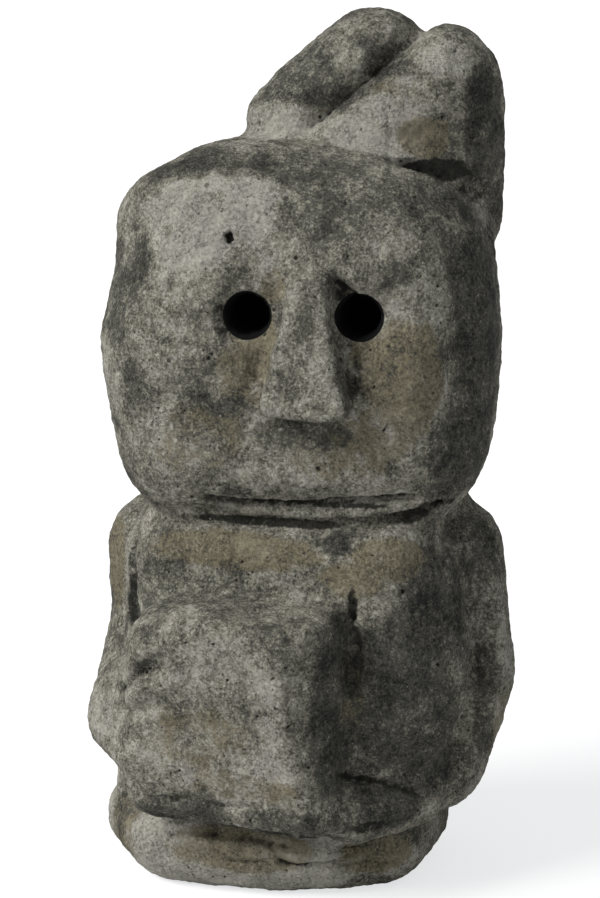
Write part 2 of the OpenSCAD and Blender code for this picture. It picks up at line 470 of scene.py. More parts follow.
# Broad valleys, done on the rough skin: route, width, depth, fade
HEAD_VALLEYS = [
    ([(57, -42, 282), (67, -42, 256), (69, -45, 231), (66, -46, 198)], 9, 2.2, 0.3),
    ([(1, -60, 264), (-3, -62, 250), (-8, -62, 232), (-11, -62, 212)], 7, 3.2, 0.2),
    ([(22, -60, 260), (25, -62, 248), (28, -62, 232), (31, -61, 212)], 7, 4.2, 0.2),
    ([(-9, -62, 204), (8, -61, 200), (28, -61, 204)], 6, 2.2, 0.25),
]
BODY_VALLEYS = [
    ([(-64, -26, 154), (-62, -38, 138), (-62, -38, 119), (-58, -50, 104)], 8, 5.0, 0.2),
    ([(77, -13, 148), (80, -13, 124), (81, -13, 107), (81, -18, 88), (78, -24, 72),
     (69, -33, 54)], 10, 6.5, 0.15),
    ([(58, -38, 147), (68, -28, 150), (77, -10, 156)], 7, 3.0, 0.3),
    ([(-60, -68, 90), (-47, -79, 97), (-36, -83, 106), (-26, -84, 114)], 6, 3.6, 0.3),
    ([(-56, -70, 80), (-41, -79, 87), (-24, -83, 96)], 6, 3.0, 0.3),
    ([(-58, -66, 68), (-44, -76, 72), (-30, -80, 80)], 6, 1.6, 0.3),
    ([(46, 24, 358), (42, 18, 351), (39, 11, 347), (29, 4, 336), (14, -2, 323), (2, -7, 313)], 8, 4.5, 0.15),
    ([(46, 20, 358), (44, 34, 350), (34, 44, 336), (22, 46, 318)], 8, 3.4, 0.2),
]
# Deep undercuts, cut out of the rough skin as chains of balls
HEAD_GOUGES = [
    [(-56, -42, 171, 1.5), (-40, -45, 164.5, 2.6), (-22, -47, 160.5, 3.4), (10, -50, 159.5, 4),
     (32, -49, 161, 4),
     (48, -45, 165, 3.6), (66, -37, 172.5, 2.6)],
]
BODY_GOUGES = [
    [(36, -16, 302, 2), (47, -14, 300, 5), (58, -8, 299, 7), (67, 0, 295, 6.5), (75, 8, 286, 4.5),
     (79, 16, 272, 3)],
    [(36.5, -53, 140, 1.2), (38, -51, 122, 3), (38.5, -54, 98, 3.2), (37, -62, 80, 2.6), (36, -67, 62, 2)],
    [(-44, -62, 36, 1.5), (-24, -72, 35, 3), (0, -75, 36, 3.5), (22, -74, 39, 2.6), (30, -70, 40, 1.5)],
]
# Where the skin is rubbed soft: place, reach and rounds of smoothing
SOFT_HEAD = [
    ((-4, -66, 238), (12, 12, 40), 4), ((10, -70, 206), (26, 14, 7), 2), ((10, -62, 266), (20, 12, 12), 6),
]


# Fine cuts, done on the fine skin
HEAD_CUTS = [
    ([(-34, -51, 170), (-13, -50, 168), (4, -50, 168), (19, -51, 170), (36, -52, 171),
     (52, -50, 174)], 2.8, 6.0, 0.1),
    ([(-36, -49, 164), (-10, -48, 163), (20, -48, 164), (46, -48, 169), (60, -46, 175)], 3.6, -1.8, 0.2),
    ([(18, -57, 262), (22, -56, 258), (27, -56, 252), (30, -56, 250)], 4.0, 4.2, 0.3),
    ([(28, -62, 236), (29, -62, 226), (30, -62, 213)], 2.8, 1.6, 0.3),
    ([(-22, -55, 277), (-20.5, -55, 273)], 2.2, 2.6, 0.1),
    ([(-9, -62, 206), (2, -61, 203), (14, -61, 202), (27, -61, 205)], 3.0, 1.6, 0.3),
]
BODY_CUTS = [
    ([(32, -66, 63), (41, -52, 57), (52, -49, 55), (61, -44, 51), (67, -35, 44)], 2.8, 2.2, 0.2),
    ([(-58, -70, 91), (-47, -79, 98), (-36, -83, 106)], 3, 1.8, 0.3),
    ([(-43, -57, 27), (-36, -58, 26), (-28, -57, 28), (-12, -56, 27), (0, -57, 29), (8, -58, 27),
     (24, -58, 28)],
     3, 2.2, 0.2),
    ([(20, -58, 29), (30, -56, 29), (38, -54, 27), (46, -47, 28), (54, -40, 26), (62, -26, 28)], 3, 2.4, 0.2),
    ([(-19, -57, 18), (-6, -56, 17), (5, -54, 18)], 2.8, 1.6, 0.3),
    ([(7, -55, 23), (9, -54, 17), (20, -53, 15), (33, -50, 18), (44, -42, 23)], 2.6, 2.0, 0.25),
    ([(30, -54, 24), (42, -46, 22), (54, -36, 26)], 2.6, 2.0, 0.3),
    ([(30, -52, 12), (42, -44, 14), (52, -34, 12)], 3.4, 2.0, 0.3),
    ([(43, 22, 353), (39, 11, 347), (29, 4, 336), (14, -2, 323), (2, -7, 313)], 3.4, 2.0, 0.2),
    ([(-46, -76, 50), (-34, -79, 47), (-22, -78, 50), (-10, -79, 47), (4, -80, 49),
     (18, -79, 48)], 3.4, 1.8, 0.3),
]
PEBBLE = [((19, -54, 22), (13, 12, 7), (0, -3.6, 0))]


def soften(form, marks, at=on_body):
    """Smooths the skin round some places."""
    for place, reach, rounds in marks:
        group = form.vertex_groups.new(name="soft")
        gap = (points_of(form) - np.array(at(*place))) / (np.array(reach) * MM)
        near = np.nonzero((gap**2).sum(1) < 1)[0].tolist()
        group.add(near, 1.0, "REPLACE")
        modify(form, "SMOOTH", factor=0.5, iterations=rounds, vertex_group="soft")
        form.vertex_groups.clear()


def sculpt_rough(form):
    """Shapes the planes, hollows and valleys of the rough skin."""
    swells(form, HEAD_SWELLS, on_head)
    swells(form, BODY_SWELLS)
    planes(form, HEAD_PLANES, on_head)
    planes(form, BODY_PLANES)
    soften(form, SOFT_HEAD, on_head)
    strokes(form, HEAD_VALLEYS, on_head)
    strokes(form, BODY_VALLEYS)
    for gouges, at in ((HEAD_GOUGES, on_head), (BODY_GOUGES, on_body)):
        for gouge in gouges:
            tool = limb("gouge", gouge, at)
            modify(tool, "REMESH", mode="VOXEL", voxel_size=0.9 * MM)
            cut(form, tool, "DIFFERENCE")
            discard(tool)
    modify(form, "SMOOTH", factor=0.5, iterations=2)


def sculpt_fine(form):
    """Cuts the mouth, the fingers and the cracks of the base."""
    swells(form, PEBBLE)
    strokes(form, HEAD_CUTS, on_head)
    strokes(form, BODY_CUTS)


def weather(form, carving):
    """Wears the skin with geometry nodes: soft chisel planes, lumps, grain and pits."""
    tree = bpy.data.node_groups.new("weathering", "GeometryNodeTree")
    tree.interface.new_socket("Geometry", in_out="INPUT", socket_type="NodeSocketGeometry")
    tree.interface.new_socket("Geometry", in_out="OUTPUT", socket_type="NodeSocketGeometry")
    g = Graph(tree)
    where = g.add("ShaderNodeVectorMath", {0: g.add("GeometryNodeInputPosition").outputs[0], "Scale": 1 / MM},
                  operation="SCALE").outputs[0]
    height = g.math("MULTIPLY", g.math("SUBTRACT", g.noise(where, 38, 2.0), 0.5), 3.2 * carving.wear)
    for size, amount in LUMPS:
        lumps = g.math("SUBTRACT", g.noise(where, size, 2.0, 0.5, size * 7), 0.5)
        height = g.math("MULTIPLY_ADD", lumps, amount * carving.wear, height)
    for spacing, radius, share, depth in PITS:
        height = g.math("MULTIPLY_ADD", g.pits(where, spacing, radius, share), -depth, height)
    offset = g.add("ShaderNodeVectorMath", {0: g.add("GeometryNodeInputNormal").outputs[0],
                                            "Scale": g.math("MULTIPLY", height, MM)}, operation="SCALE")
    moved = g.add("GeometryNodeSetPosition", {"Offset": offset.outputs[0]})
    source = g.add("NodeGroupInput")
    g.feed(moved.inputs["Geometry"], source.outputs[0])
    end = g.add("NodeGroupOutput")
    g.feed(end.inputs[0], moved.outputs[0])
    modify(form, "NODES", node_group=tree)


# ---------------------------------------------------------------- stains, kept as attributes

# Each is a place, a reach and a strength: dark soot and some painted shade, pale rubbed stone and some
# painted light, ochre earth, and black painted shade in grooves
HEAD_STAINS_AND_SHADE = {
    "dark": [
        ((15, -48, 289), (22, 16, 20), 0.3), ((5, -36, 302), (26, 16, 9), 0.5),
        ((41, -42, 293), (24, 16, 16), 0.35), ((80, -30, 236), (18, 30, 62), 1.0),
        ((74, -36, 200), (14, 20, 30), 0.9), ((-71, -37, 247), (14, 18, 30), 0.5),
        ((-46, -28, 302), (30, 20, 9), 0.6), ((-25, -61, 216), (14, 10, 14), 0.3),
        ((-41, -61, 229), (12, 10, 12), 0.4), ((-28, -61, 240), (9, 10, 12), 0.5),
        # The dark under the nose is painted shade
        ((9, -59, 199), (22, 10, 8), 0.7), ((9, -70, 236), (6, 10, 18), 0.45),
        ((66, -46, 188), (14, 16, 22), 0.8), ((-33, -50, 168), (14, 10, 6), 0.4),
        ((68, -34, 276), (18, 16, 26), 0.8), ((0, 58, 250), (50, 20, 44), 0.5),
        ((-74, 20, 220), (14, 30, 36), 0.5), ((27, -66, 232), (5, 10, 24), 0.8),
        ((-62, -50, 262), (12, 16, 16), 0.6), ((-60, -52, 212), (10, 14, 14), 0.4),
        ((40, -58, 262), (16, 12, 6), 0.4),
    ],
    "pale": [
        ((-36, -50, 284), (24, 18, 26), 1.5), ((-16, -50, 286), (14, 16, 22), 1.4),
        ((-10, -56, 270), (10, 12, 9), 0.7), ((-3, -72, 215), (8, 10, 9), 0.7),
        ((18, -73, 212), (10, 9, 6), 0.5), ((-51, -58, 232), (16, 12, 16), 0.5),
        ((-46, -57, 194), (22, 12, 18), 0.35), ((54, -54, 250), (14, 12, 12), 0.55),
        ((4, -64, 250), (8, 10, 16), 0.4), ((-30, 60, 270), (36, 20, 30), 0.5),
        ((34, -56, 200), (30, 10, 14), 0.5), ((4, -54, 182), (40, 12, 9), 0.35),
        ((-70, -36, 222), (12, 16, 20), 0.45),
    ],
    "ochre": [
        ((50, -58, 222), (20, 12, 28), 0.9), ((-14, -62, 224), (14, 10, 18), 0.7),
        ((-8, -61, 238), (7, 10, 14), 0.9), ((-4, -60, 256), (7, 10, 9), 0.7),
        ((40, -58, 200), (22, 10, 14), 0.6), ((-32, -59, 196), (24, 10, 18), 0.5),
        ((24, -58, 190), (30, 10, 12), 0.5), ((20, 58, 200), (40, 16, 24), 0.5),
        ((33, -57, 228), (8, 10, 14), 0.7),
    ],
    # Painted shade: black in the mouth slit, the brow notches, under the nose and in the nose's shaded valley
    "groove_shade": [
        ((25, -56, 254), (5, 8, 4), 0.7), ((-24, -58, 243), (4, 8, 9), 0.6),
        ((6, -59, 202), (16, 8, 2.5), 0.45), ((29, -62, 226), (3.5, 8, 16), 0.6),
        ((10, -47, 168.5), (42, 9, 1.8), 0.8), ((60, -44, 169), (12, 12, 3), 0.7),
    ],
}
BODY_STAINS_AND_SHADE = {
    "dark": [
        ((0, 0, 335), (20, 16, 14), 0.6), ((-12, -2, 326), (14, 14, 8), 0.5),
        ((36, 0, 340), (10, 14, 8), 0.7), ((20, -4, 326), (10, 12, 6), 0.7),
        ((74, 9, 316), (9, 20, 30), 1.0), ((57, 2, 312), (10, 12, 10), 0.4),
        ((79, 26, 297), (9, 18, 30), 0.8), ((35, -66, 92), (9, 22, 46), 1.0),
        ((58, -48, 92), (30, 20, 38), 0.85), ((70, -34, 126), (22, 20, 26), 0.9),
        ((76, -14, 148), (14, 18, 14), 0.7), ((-10, -61, 129), (36, 18, 8), 0.1),
        # Painted shade: the dark along the lower front of the block, about 43 mm up, under its overhang
        ((-42, -82, 112), (12, 12, 14), 0.3), ((-26, -74, 43), (26, 14, 8), 0.7),
        ((16, -77, 43), (24, 14, 7), 0.6), ((54, -52, 48), (20, 16, 12), 1.0),
        ((52, -32, 24), (20, 18, 8), 0.5), ((44, -38, 12), (26, 18, 9), 0.3),
        ((30, -50, 154), (6, 8, 6), 0.9), ((-43, -52, 141), (14, 10, 8), 0.4),
        ((67, -36, 66), (20, 18, 22), 0.9), ((0, 50, 110), (50, 20, 50), 0.6),
        ((-84, 10, 90), (12, 30, 40), 0.4), ((-62, -40, 128), (5, 14, 26), 0.8),
        ((20, -70, 116), (12, 14, 12), 0.3), ((-66, -40, 62), (14, 20, 10), 0.4),
        ((84, -14, 100), (6, 10, 50), 0.6),
    ],
    "pale": [
        ((-11, -4, 317), (26, 14, 9), 1.8), ((36, -7, 314), (24, 12, 18), 1.5),
        ((60, 5, 342), (14, 12, 9), 0.8), ((43, -3, 330), (12, 10, 10), 0.8),
        ((-5, -85, 112), (20, 10, 12), 0.35), ((12, -84, 90), (8, 10, 24), 0.6),
        ((1, -79, 65), (20, 10, 18), 0.5), ((-68, -63, 80), (14, 14, 16), 0.9),
        # The pale low on the base is partly rubbed stone and partly painted light that lifts the base out of
        # the block's shadow
        ((-46, -56, 18), (26, 16, 14), 1.8), ((-31, -53, 8), (34, 14, 10), 1.6),
        ((14, -51, 22), (24, 14, 10), 1.3), ((-80, -14, 30), (14, 24, 26), 1.3),
        ((-70, -30, 140), (8, 12, 20), 0.5), ((90, -4, 84), (6, 10, 40), 0.6),
        ((30, 56, 60), (40, 14, 24), 0.4), ((16, -50, 8), (44, 14, 9), 1.1),
        ((50, -36, 16), (20, 16, 12), 0.6), ((-30, -78, 70), (20, 10, 20), 0.35),
    ],
    "ochre": [
        ((-13, -51, 148), (46, 12, 9), 0.9), ((54, -46, 148), (24, 12, 10), 1.0),
        ((38, -53, 140), (16, 10, 9), 0.8), ((51, 0, 311), (12, 12, 10), 1.0),
        ((37, -4, 328), (10, 10, 8), 0.5), ((38, -55, 91), (6, 14, 22), 0.6),
        ((-16, -80, 76), (26, 10, 18), 0.5), ((-7, -56, 22), (40, 12, 12), 0.8),
        ((-80, -14, 129), (8, 14, 24), 0.8), ((47, -36, 20), (24, 14, 12), 0.9),
        ((-40, 50, 130), (34, 14, 20), 0.6), ((88, -2, 66), (8, 12, 26), 0.6),
        ((-60, -40, 20), (20, 20, 16), 0.6), ((0, -80, 58), (30, 10, 8), 0.5),
    ],
    # Painted shade: black in the grooves, the chin and topknot undercuts and under the block
    "groove_shade": [
        ((56, -2, 298), (20, 20, 5.5), 1.0), ((70, 8, 290), (9, 18, 7), 0.6),
        ((78, 16, 274), (5, 16, 16), 0.6), ((6, -48, 159.5), (48, 10, 2.6), 0.8),
        ((60, -38, 164), (14, 10, 5), 0.8), ((38, -50, 130), (2.5, 8, 10), 0.8),
        ((38, -56, 94), (3, 10, 26), 0.3), ((0, -72, 36), (44, 14, 3.5), 0.7),
        ((44, -56, 40), (10, 12, 3.5), 0.7), ((-63, -36, 128), (4.5, 10, 24), 0.6),
        ((-58, -48, 106), (5, 8, 5), 0.6), ((81, -14, 108), (3.5, 8, 34), 0.5),
        ((30, 4, 337), (18, 10, 3), 0.5),
    ],
}


# How hollow or proud each point is: the name, and the rounds of smoothing that it is measured against
RELIEF = {"crevice": 40, "speck": 4}
# The whole form's points, as a tree, and the stains and relief at each of them
SKIN = {}


def set_values(obj, name, values):
    """Keeps one number for each point of the mesh, under a name that the material reads."""
    layer = obj.data.attributes.get(name) or obj.data.attributes.new(name, "FLOAT", "POINT")
    layer.data.foreach_set("value", values.astype(np.float32))


def stain_and_shade(form):
    """Lays the soft stains and the painted shade on the skin, and marks how hollow or how proud each point
    is.
    """
    co = points_of(form)
    for name in HEAD_STAINS_AND_SHADE:
        total = np.zeros(len(co))
        for stains, at in ((HEAD_STAINS_AND_SHADE, on_head), (BODY_STAINS_AND_SHADE, on_body)):
            for place, reach, strength in stains[name]:
                gap = (co - np.array(at(*place))) / (np.array(reach) * MM)
                # Full over two thirds of the reach, and gone just past it
                total = np.maximum(total, strength * np.clip(1.7 - 1.5 * (gap**2).sum(1), 0, 1))
        set_values(form, name, total)
    normals = np.empty(len(co) * 3, np.float32)
    form.data.vertex_normals.foreach_get("vector", normals)
    normals = normals.reshape(-1, 3)
    for name, rounds in RELIEF.items():
        soft = copy_of(form, "soft_copy")
        modify(soft, "SMOOTH", factor=0.5, iterations=rounds)
        set_values(form, name, ((points_of(soft) - co) * normals).sum(1) / MM)
        discard(soft)


def keep_skin(form):
    """Keeps the whole form's points, stains, painted shade and relief, for the pieces that are cut from it.
    """
    co = points_of(form)
    SKIN["tree"] = KDTree(len(co))
    for i, place in enumerate(co):
        SKIN["tree"].insert(place, i)
    SKIN["tree"].balance()
    SKIN["values"] = {}
    for name in (*HEAD_STAINS_AND_SHADE, *RELIEF):
        values = np.empty(len(co), np.float32)
        form.data.attributes[name].data.foreach_get("value", values)
        SKIN["values"][name] = values


def restain(piece):
    """Gives a piece the stains, painted shade and relief of the whole form again, because cutting leaves its
    new edges bare.
    """
    nearest = np.array([SKIN["tree"].find(place)[1] for place in points_of(piece)])
    for name, values in SKIN["values"].items():
        set_values(piece, name, values[nearest])


# ---------------------------------------------------------------- dividing the form

# The neck's groove climbs towards the figure's left and dips at the front
NECK_AT = (0, 0, 162.8)
NECK_UP = (-0.084, -0.07, 1)
# The parting between the lobes of hair leans towards the figure's left
PARTING = (18, 0, 326)
PARTING_FACES = (-0.743, 0, 0.669)


def half_space(place, direction, at=on_body):
    """A big block that fills the space on the far side of a plane, along direction."""
    way = (at(*direction) - at(0, 0, 0)).normalized()
    bpy.ops.mesh.primitive_cube_add(size=2 * FAR * MM)
    block = bpy.context.object
    block.rotation_euler = way.to_track_quat("Z", "Y").to_euler()
    block.location = at(*place) + way * FAR * MM
    return join("half_space", [block])


def take(name, *regions):
    """Cuts the part of the form that lies in every region out as a piece, and takes it off the form."""
    form = bpy.data.objects[FORM]
    tool = regions[0]
    for region in regions[1:]:
        cut(tool, region, "INTERSECT")
    piece = copy_of(form, name)
    cut(piece, tool, "INTERSECT")
    cut(form, tool, "DIFFERENCE")
    discard(*regions)
    return piece


def without(region, *others):
    """A region less some others, which are used up."""
    for other in others:
        cut(region, other, "DIFFERENCE")
    discard(*others)
    return region


def without_flakes(piece):
    """The largest closed part of a piece, without the thin loose flakes that a cut can leave."""
    only(piece)
    bpy.ops.mesh.separate(type="LOOSE")
    parts = sorted(bpy.context.selected_objects, key=lambda part: len(part.data.vertices))
    discard(*parts[:-1])
    return parts[-1]


def finish_piece(piece, name, node):
    """Names a piece, gives it the stone and lets it stand for its node."""
    piece = only(without_flakes(piece))
    piece.name = piece.data.name = name
    piece.data.validate()
    restain(piece)
    bpy.ops.object.shade_smooth_by_angle(angle=math.radians(50))
    piece.data.materials.clear()
    piece.data.materials.append(bpy.data.materials[STONE])
    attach(piece, BODY)
    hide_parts(node)


# ---------------------------------------------------------------- stone colours

def stone_material(stone):
    """Weathered volcanic stone: mottled grey and beige, with ochre stains, dark blotches, pits and grain, and
    painted shade in the hollows, grooves and eye sockets.
    """
    mat = bpy.data.materials.new(STONE)
    mat.use_nodes = True
    mat.node_tree.nodes.clear()
    g = Graph(mat.node_tree)
    coords = g.add("ShaderNodeTexCoord").outputs["Object"]
    where = g.add("ShaderNodeVectorMath", {0: coords, "Scale": 1 / MM}, operation="SCALE").outputs[0]
    streaked = g.add("ShaderNodeMapping", {"Vector": where, "Scale": (1.0, 1.0, 0.3)}).outputs[0]

    def attribute(name):
        return g.add("ShaderNodeAttribute", attribute_name=name).outputs["Fac"]

    def mix(factor, a, b, blend="MIX"):
        node = g.add("ShaderNodeMix", data_type="RGBA", blend_type=blend)
        g.feed(node.inputs[0], factor)
        g.feed(node.inputs[6], a if isinstance(a, bpy.types.NodeSocket) else (*a, 1))
        g.feed(node.inputs[7], b if isinstance(b, bpy.types.NodeSocket) else (*b, 1))
        return node.outputs[2]

    def shade(colour, amount):
        grey = g.add("ShaderNodeCombineXYZ", {0: amount, 1: amount, 2: amount}).outputs[0]
        return mix(1.0, colour, grey, "MULTIPLY")

    def broken(name, size, shift, swing=2.2):
        """A stain whose edge is broken up by noise."""
        ragged = g.math("SUBTRACT", g.noise(where, size, 7.0, 0.72, shift), 0.5)
        return g.math("MULTIPLY_ADD", ragged, swing, attribute(name))

    def socket(mount):
        """Painted shade: 1 inside an eye socket, and 0 outside it. It fades out at the rim."""
        away = g.add("ShaderNodeVectorMath", {0: coords, 1: mount["pos_m"]}, operation="SUBTRACT").outputs[0]
        axis = tuple(mount["axis"])
        ahead = g.add("ShaderNodeVectorMath", {0: away, 1: axis}, operation="DOT_PRODUCT").outputs["Value"]
        across = g.add("ShaderNodeVectorMath", {0: away, 1: axis}, operation="CROSS_PRODUCT").outputs[0]
        reach = g.add("ShaderNodeVectorMath", {0: across}, operation="LENGTH").outputs["Value"]
        within = g.math("LESS_THAN", reach, (mount["dims"]["r_mm"] + SOCKET_MARGIN) * MM)
        above_floor = g.math("GREATER_THAN", ahead, SOCKET_FLOOR * MM)
        below_rim = g.ramp(g.math("MULTIPLY", ahead, -1), -SOCKET_RIM * MM, -SOCKET_FADE * MM)
        return g.math("MULTIPLY", g.math("MULTIPLY", within, above_floor), below_rim)

    # One tone runs from soot to rubbed stone, and breaks up into crisp mottling and grit
    tone = g.math("MULTIPLY_ADD", attribute("pale"), 0.38, 0.57)
    tone = g.math("MULTIPLY_ADD", attribute("dark"), -0.50, tone)
    for size, detail, shift, swing in MOTTLING:
        mottle = g.math("SUBTRACT", g.noise(where, size, detail, 0.7, shift), 0.5)
        tone = g.math("MULTIPLY_ADD", mottle, swing, tone)
    colour = mix(g.ramp(tone, -0.25, 0.32), stone.dark, stone.deep)
    colour = mix(g.ramp(tone, 0.38, 0.54), colour, stone.middle)
    colour = mix(g.ramp(tone, 0.70, 0.86), colour, stone.pale)
    earth = g.math("MULTIPLY", g.ramp(broken("ochre", 9, 90.0), 0.3, 0.75), g.ramp(tone, 0.1, 0.5))
    colour = mix(g.math("MULTIPLY", earth, 0.72), colour, stone.ochre)

    # Grain, coarser in some places than in others
    rough_patch = g.ramp(g.noise(where, 13, 3.0, 0.6, 140.0), 0.38, 0.62, 0.45, 1.0)
    grain = g.math("SUBTRACT", g.noise(where, 1.3, 3.0, 0.75, 280.0), 0.5)
    colour = shade(colour, g.math("MULTIPLY_ADD", g.math("MULTIPLY", grain, rough_patch), 3.4, 1.0))
    streak = g.math("SUBTRACT", g.noise(streaked, 2.4, 3.0, 0.7, 240.0), 0.5)
    colour = shade(colour, g.math("MULTIPLY_ADD", streak, 0.4, 1.0))

    # Painted shade in the hollows, creases, grooves and small pits, rubbed pale edges, and dark pits
    crevice = attribute("crevice")
    rubbed = g.ramp(g.math("MULTIPLY", crevice, -1.0), 0.35, 1.5, 0.0, 0.5)
    colour = mix(rubbed, colour, stone.pale)
    # Painted shade: the deeper a hollow or crease, the darker it is painted
    colour = mix(g.ramp(crevice, 0.25, 1.5, 0.0, 0.9), colour, stone.shade_and_dirt)
    # Painted shade in the small hollows and pits of the skin
    colour = mix(g.ramp(attribute("speck"), 0.06, 0.26, 0.0, 0.85), colour, stone.shade_and_dirt)
    # Painted shade in the grooves, slits and undercuts, laid as listed marks
    groove_shade = g.ramp(broken("groove_shade", 5, 200.0, 2.0), 0.3, 0.8, 0.0, 0.92)
    colour = mix(groove_shade, colour, stone.shade_and_dirt)
    pocks = g.math("MAXIMUM", g.pits(where, 4.2, 0.85, 0.34), g.pits(where, 2.1, 0.45, 0.4))
    pocks = g.math("MAXIMUM", pocks, g.pits(where, 9, 1.5, 0.3))
    colour = mix(g.math("MULTIPLY", g.math("MULTIPLY", pocks, rough_patch), 0.95), colour, stone.shade_and_dirt)
    colour = mix(g.math("MULTIPLY", g.pits(where, 5.2, 0.6, 0.3), 0.6), colour, stone.chip)
    # The eye sockets are painted near black inside: painted shade
    for mount in EYES:
        colour = mix(socket(mount), colour, stone.hole)

    bump_height = g.math("MULTIPLY_ADD", g.noise(where, 3.2, 6.0, 0.76, 320.0), 3.2,
                         g.math("MULTIPLY", g.noise(where, 0.9, 2.0, 0.7, 360.0), 0.5))
    bump_height = g.math("MULTIPLY", bump_height, rough_patch)
    bump_height = g.math("MULTIPLY_ADD", pocks, -0.9, bump_height)
    bump = g.add("ShaderNodeBump", {"Strength": stone.bump, "Distance": MM, "Height": bump_height})
    shader = g.add("ShaderNodeBsdfPrincipled", {
        "Base Color": colour, "Roughness": 0.92, "Specular IOR Level": 0.25, "Normal": bump.outputs[0],
    })
    g.add("ShaderNodeOutputMaterial", {"Surface": shader.outputs[0]})


# ---------------------------------------------------------------- settings

class CarvingSettings(bpy.types.PropertyGroup):
    """How finely the form is carved and how worn it is."""
    grain: FloatProperty(name="Grain", description="Edge of the finest faces, in millimetres",
                         default=0.95, min=0.7)
    wear: FloatProperty(name="Wear", description="Height of the lumps and chisel planes, in millimetres",
                        default=1.0)


class StoneSettings(bpy.types.PropertyGroup):
    """Colours of the stone and of its stains."""
    middle: FloatVectorProperty(name="Middle", description="Bare stone, lighter tone", subtype="COLOR",
                                default=(0.265, 0.250, 0.200))
    deep: FloatVectorProperty(name="Deep", description="Bare stone, darker tone", subtype="COLOR",
                              default=(0.120, 0.115, 0.094))
    # Pale also takes the painted light that lifts the base out of the block's shadow
    pale: FloatVectorProperty(name="Pale", description="Rubbed and lichened patches", subtype="COLOR",
                              default=(0.43, 0.41, 0.355))
    ochre: FloatVectorProperty(name="Ochre", description="Earth stains", subtype="COLOR",
                               default=(0.220, 0.188, 0.114))
    # Dark also takes the painted shade under the nose and along the block's lower front
    dark: FloatVectorProperty(name="Dark", description="Soot and algae", subtype="COLOR",
                              default=(0.034, 0.035, 0.030))
    # Painted shade in hollows, creases, grooves and small pits, and the dark of the pits
    shade_and_dirt: FloatVectorProperty(name="Dirt", description="Dirt in cracks and pits", subtype="COLOR",
                              default=(0.014, 0.014, 0.011))
    chip: FloatVectorProperty(name="Chip", description="Small pale crystals in the stone", subtype="COLOR",
                              default=(0.55, 0.53, 0.47))
    # Painted shade: near black inside the eye sockets
    hole: FloatVectorProperty(name="Hole", description="Inside of the eye sockets", subtype="COLOR",
                              default=(0.003, 0.003, 0.003))
    bump: FloatProperty(name="Bump", description="Strength of the grain in the finish",
                        default=1.0, min=0, max=1)


class StageSettings(bpy.types.PropertyGroup):
    """Camera, floor and lights."""
    aim: FloatVectorProperty(name="Aim", description="Point the camera looks at", subtype="XYZ",
                             unit="LENGTH", default=(AXIS.x - 1.2 * MM, AXIS.y, 0.180))
    distance: FloatProperty(name="Distance", description="Camera to its aim", unit="LENGTH", default=0.950)
    around: FloatProperty(name="Around", description="Camera's turn from the body's front",
                          subtype="ANGLE", default=math.radians(18))
    above: FloatProperty(name="Above", description="Camera's angle above the level", subtype="ANGLE",
                         default=math.radians(12))
    lens: FloatProperty(name="Lens", description="Focal length in millimetres on a 36 mm sensor",
                        default=90.68)
    key: FloatProperty(name="Key", description="Strength of the main light", default=2.6)
    key_from: FloatVectorProperty(name="From", description="Side that the main light comes from",
                                  subtype="XYZ", default=(-0.75, -0.7, 0.8))
    key_spread: FloatProperty(name="Spread", description="Width of the main light in the sky",
                              subtype="ANGLE", default=math.radians(32))
    fill: FloatProperty(name="Fill", description="Strength of the light from all round", default=0.33)


# ---------------------------------------------------------------- operators

class FigureOperator:
    """What all the steps share."""
    bl_options = {"REGISTER", "UNDO"}


class FIGURE_OT_form(FigureOperator, bpy.types.Operator):
    """Block out, sculpt, weather, stain and paint shade on the whole unbroken stone"""
    bl_idname = "figure.form"
    bl_label = "Carve the form"

    def execute(self, context):
        carving = context.scene.figure_carving
        stone_material(context.scene.figure_stone)
        form = block_out()
        sculpt_rough(form)
        drill_eyes(form)
        refine(form, carving.grain * (1))
        sculpt_fine(form)
        weather(form, carving)
        ground = half_space((0, 0, 0), (0, 0, -1))
        cut(form, ground, "DIFFERENCE")
        discard(ground)
        stain_and_shade(form)
        keep_skin(form)
        return {"FINISHED"}


class FIGURE_OT_base(FigureOperator, bpy.types.Operator):
    """Cut off the base along its crack"""
    bl_idname = "figure.base"
    bl_label = "Base"

    def execute(self, context):
        piece = take("stone_base", half_space((0, 0, CRACK_Z), (0, 0, -1)))
        finish_piece(piece, "stone_base", "base")
        return {"FINISHED"}


class FIGURE_OT_topknot(FigureOperator, bpy.types.Operator):
    """Cut off the two lobes of hair, parted along their groove"""
    bl_idname = "figure.topknot"
    bl_label = "Topknot"

    def execute(self, context):
        crown = half_space((0, 0, HAIR_LOW_Z), (0, 0, 1))
        above_head = without(crown, skin_round("crown", HEAD_BALLS, on_head, grow=1.2))
        near_hair = skin_round("near_hair", LEFT_LOBE_BALLS + RIGHT_LOBE_BALLS, grow=6)
        upper = take("upper_lobe", above_head, near_hair)
        front = copy_of(upper, "front_lobe")
        past_parting = half_space(PARTING, PARTING_FACES)
        cut(upper, past_parting, "INTERSECT")
        cut(front, past_parting, "DIFFERENCE")
        discard(past_parting)
        finish_piece(upper, "carved_topknot_left", "topknot_left")
        finish_piece(front, "carved_topknot_right", "topknot_right")
        return {"FINISHED"}


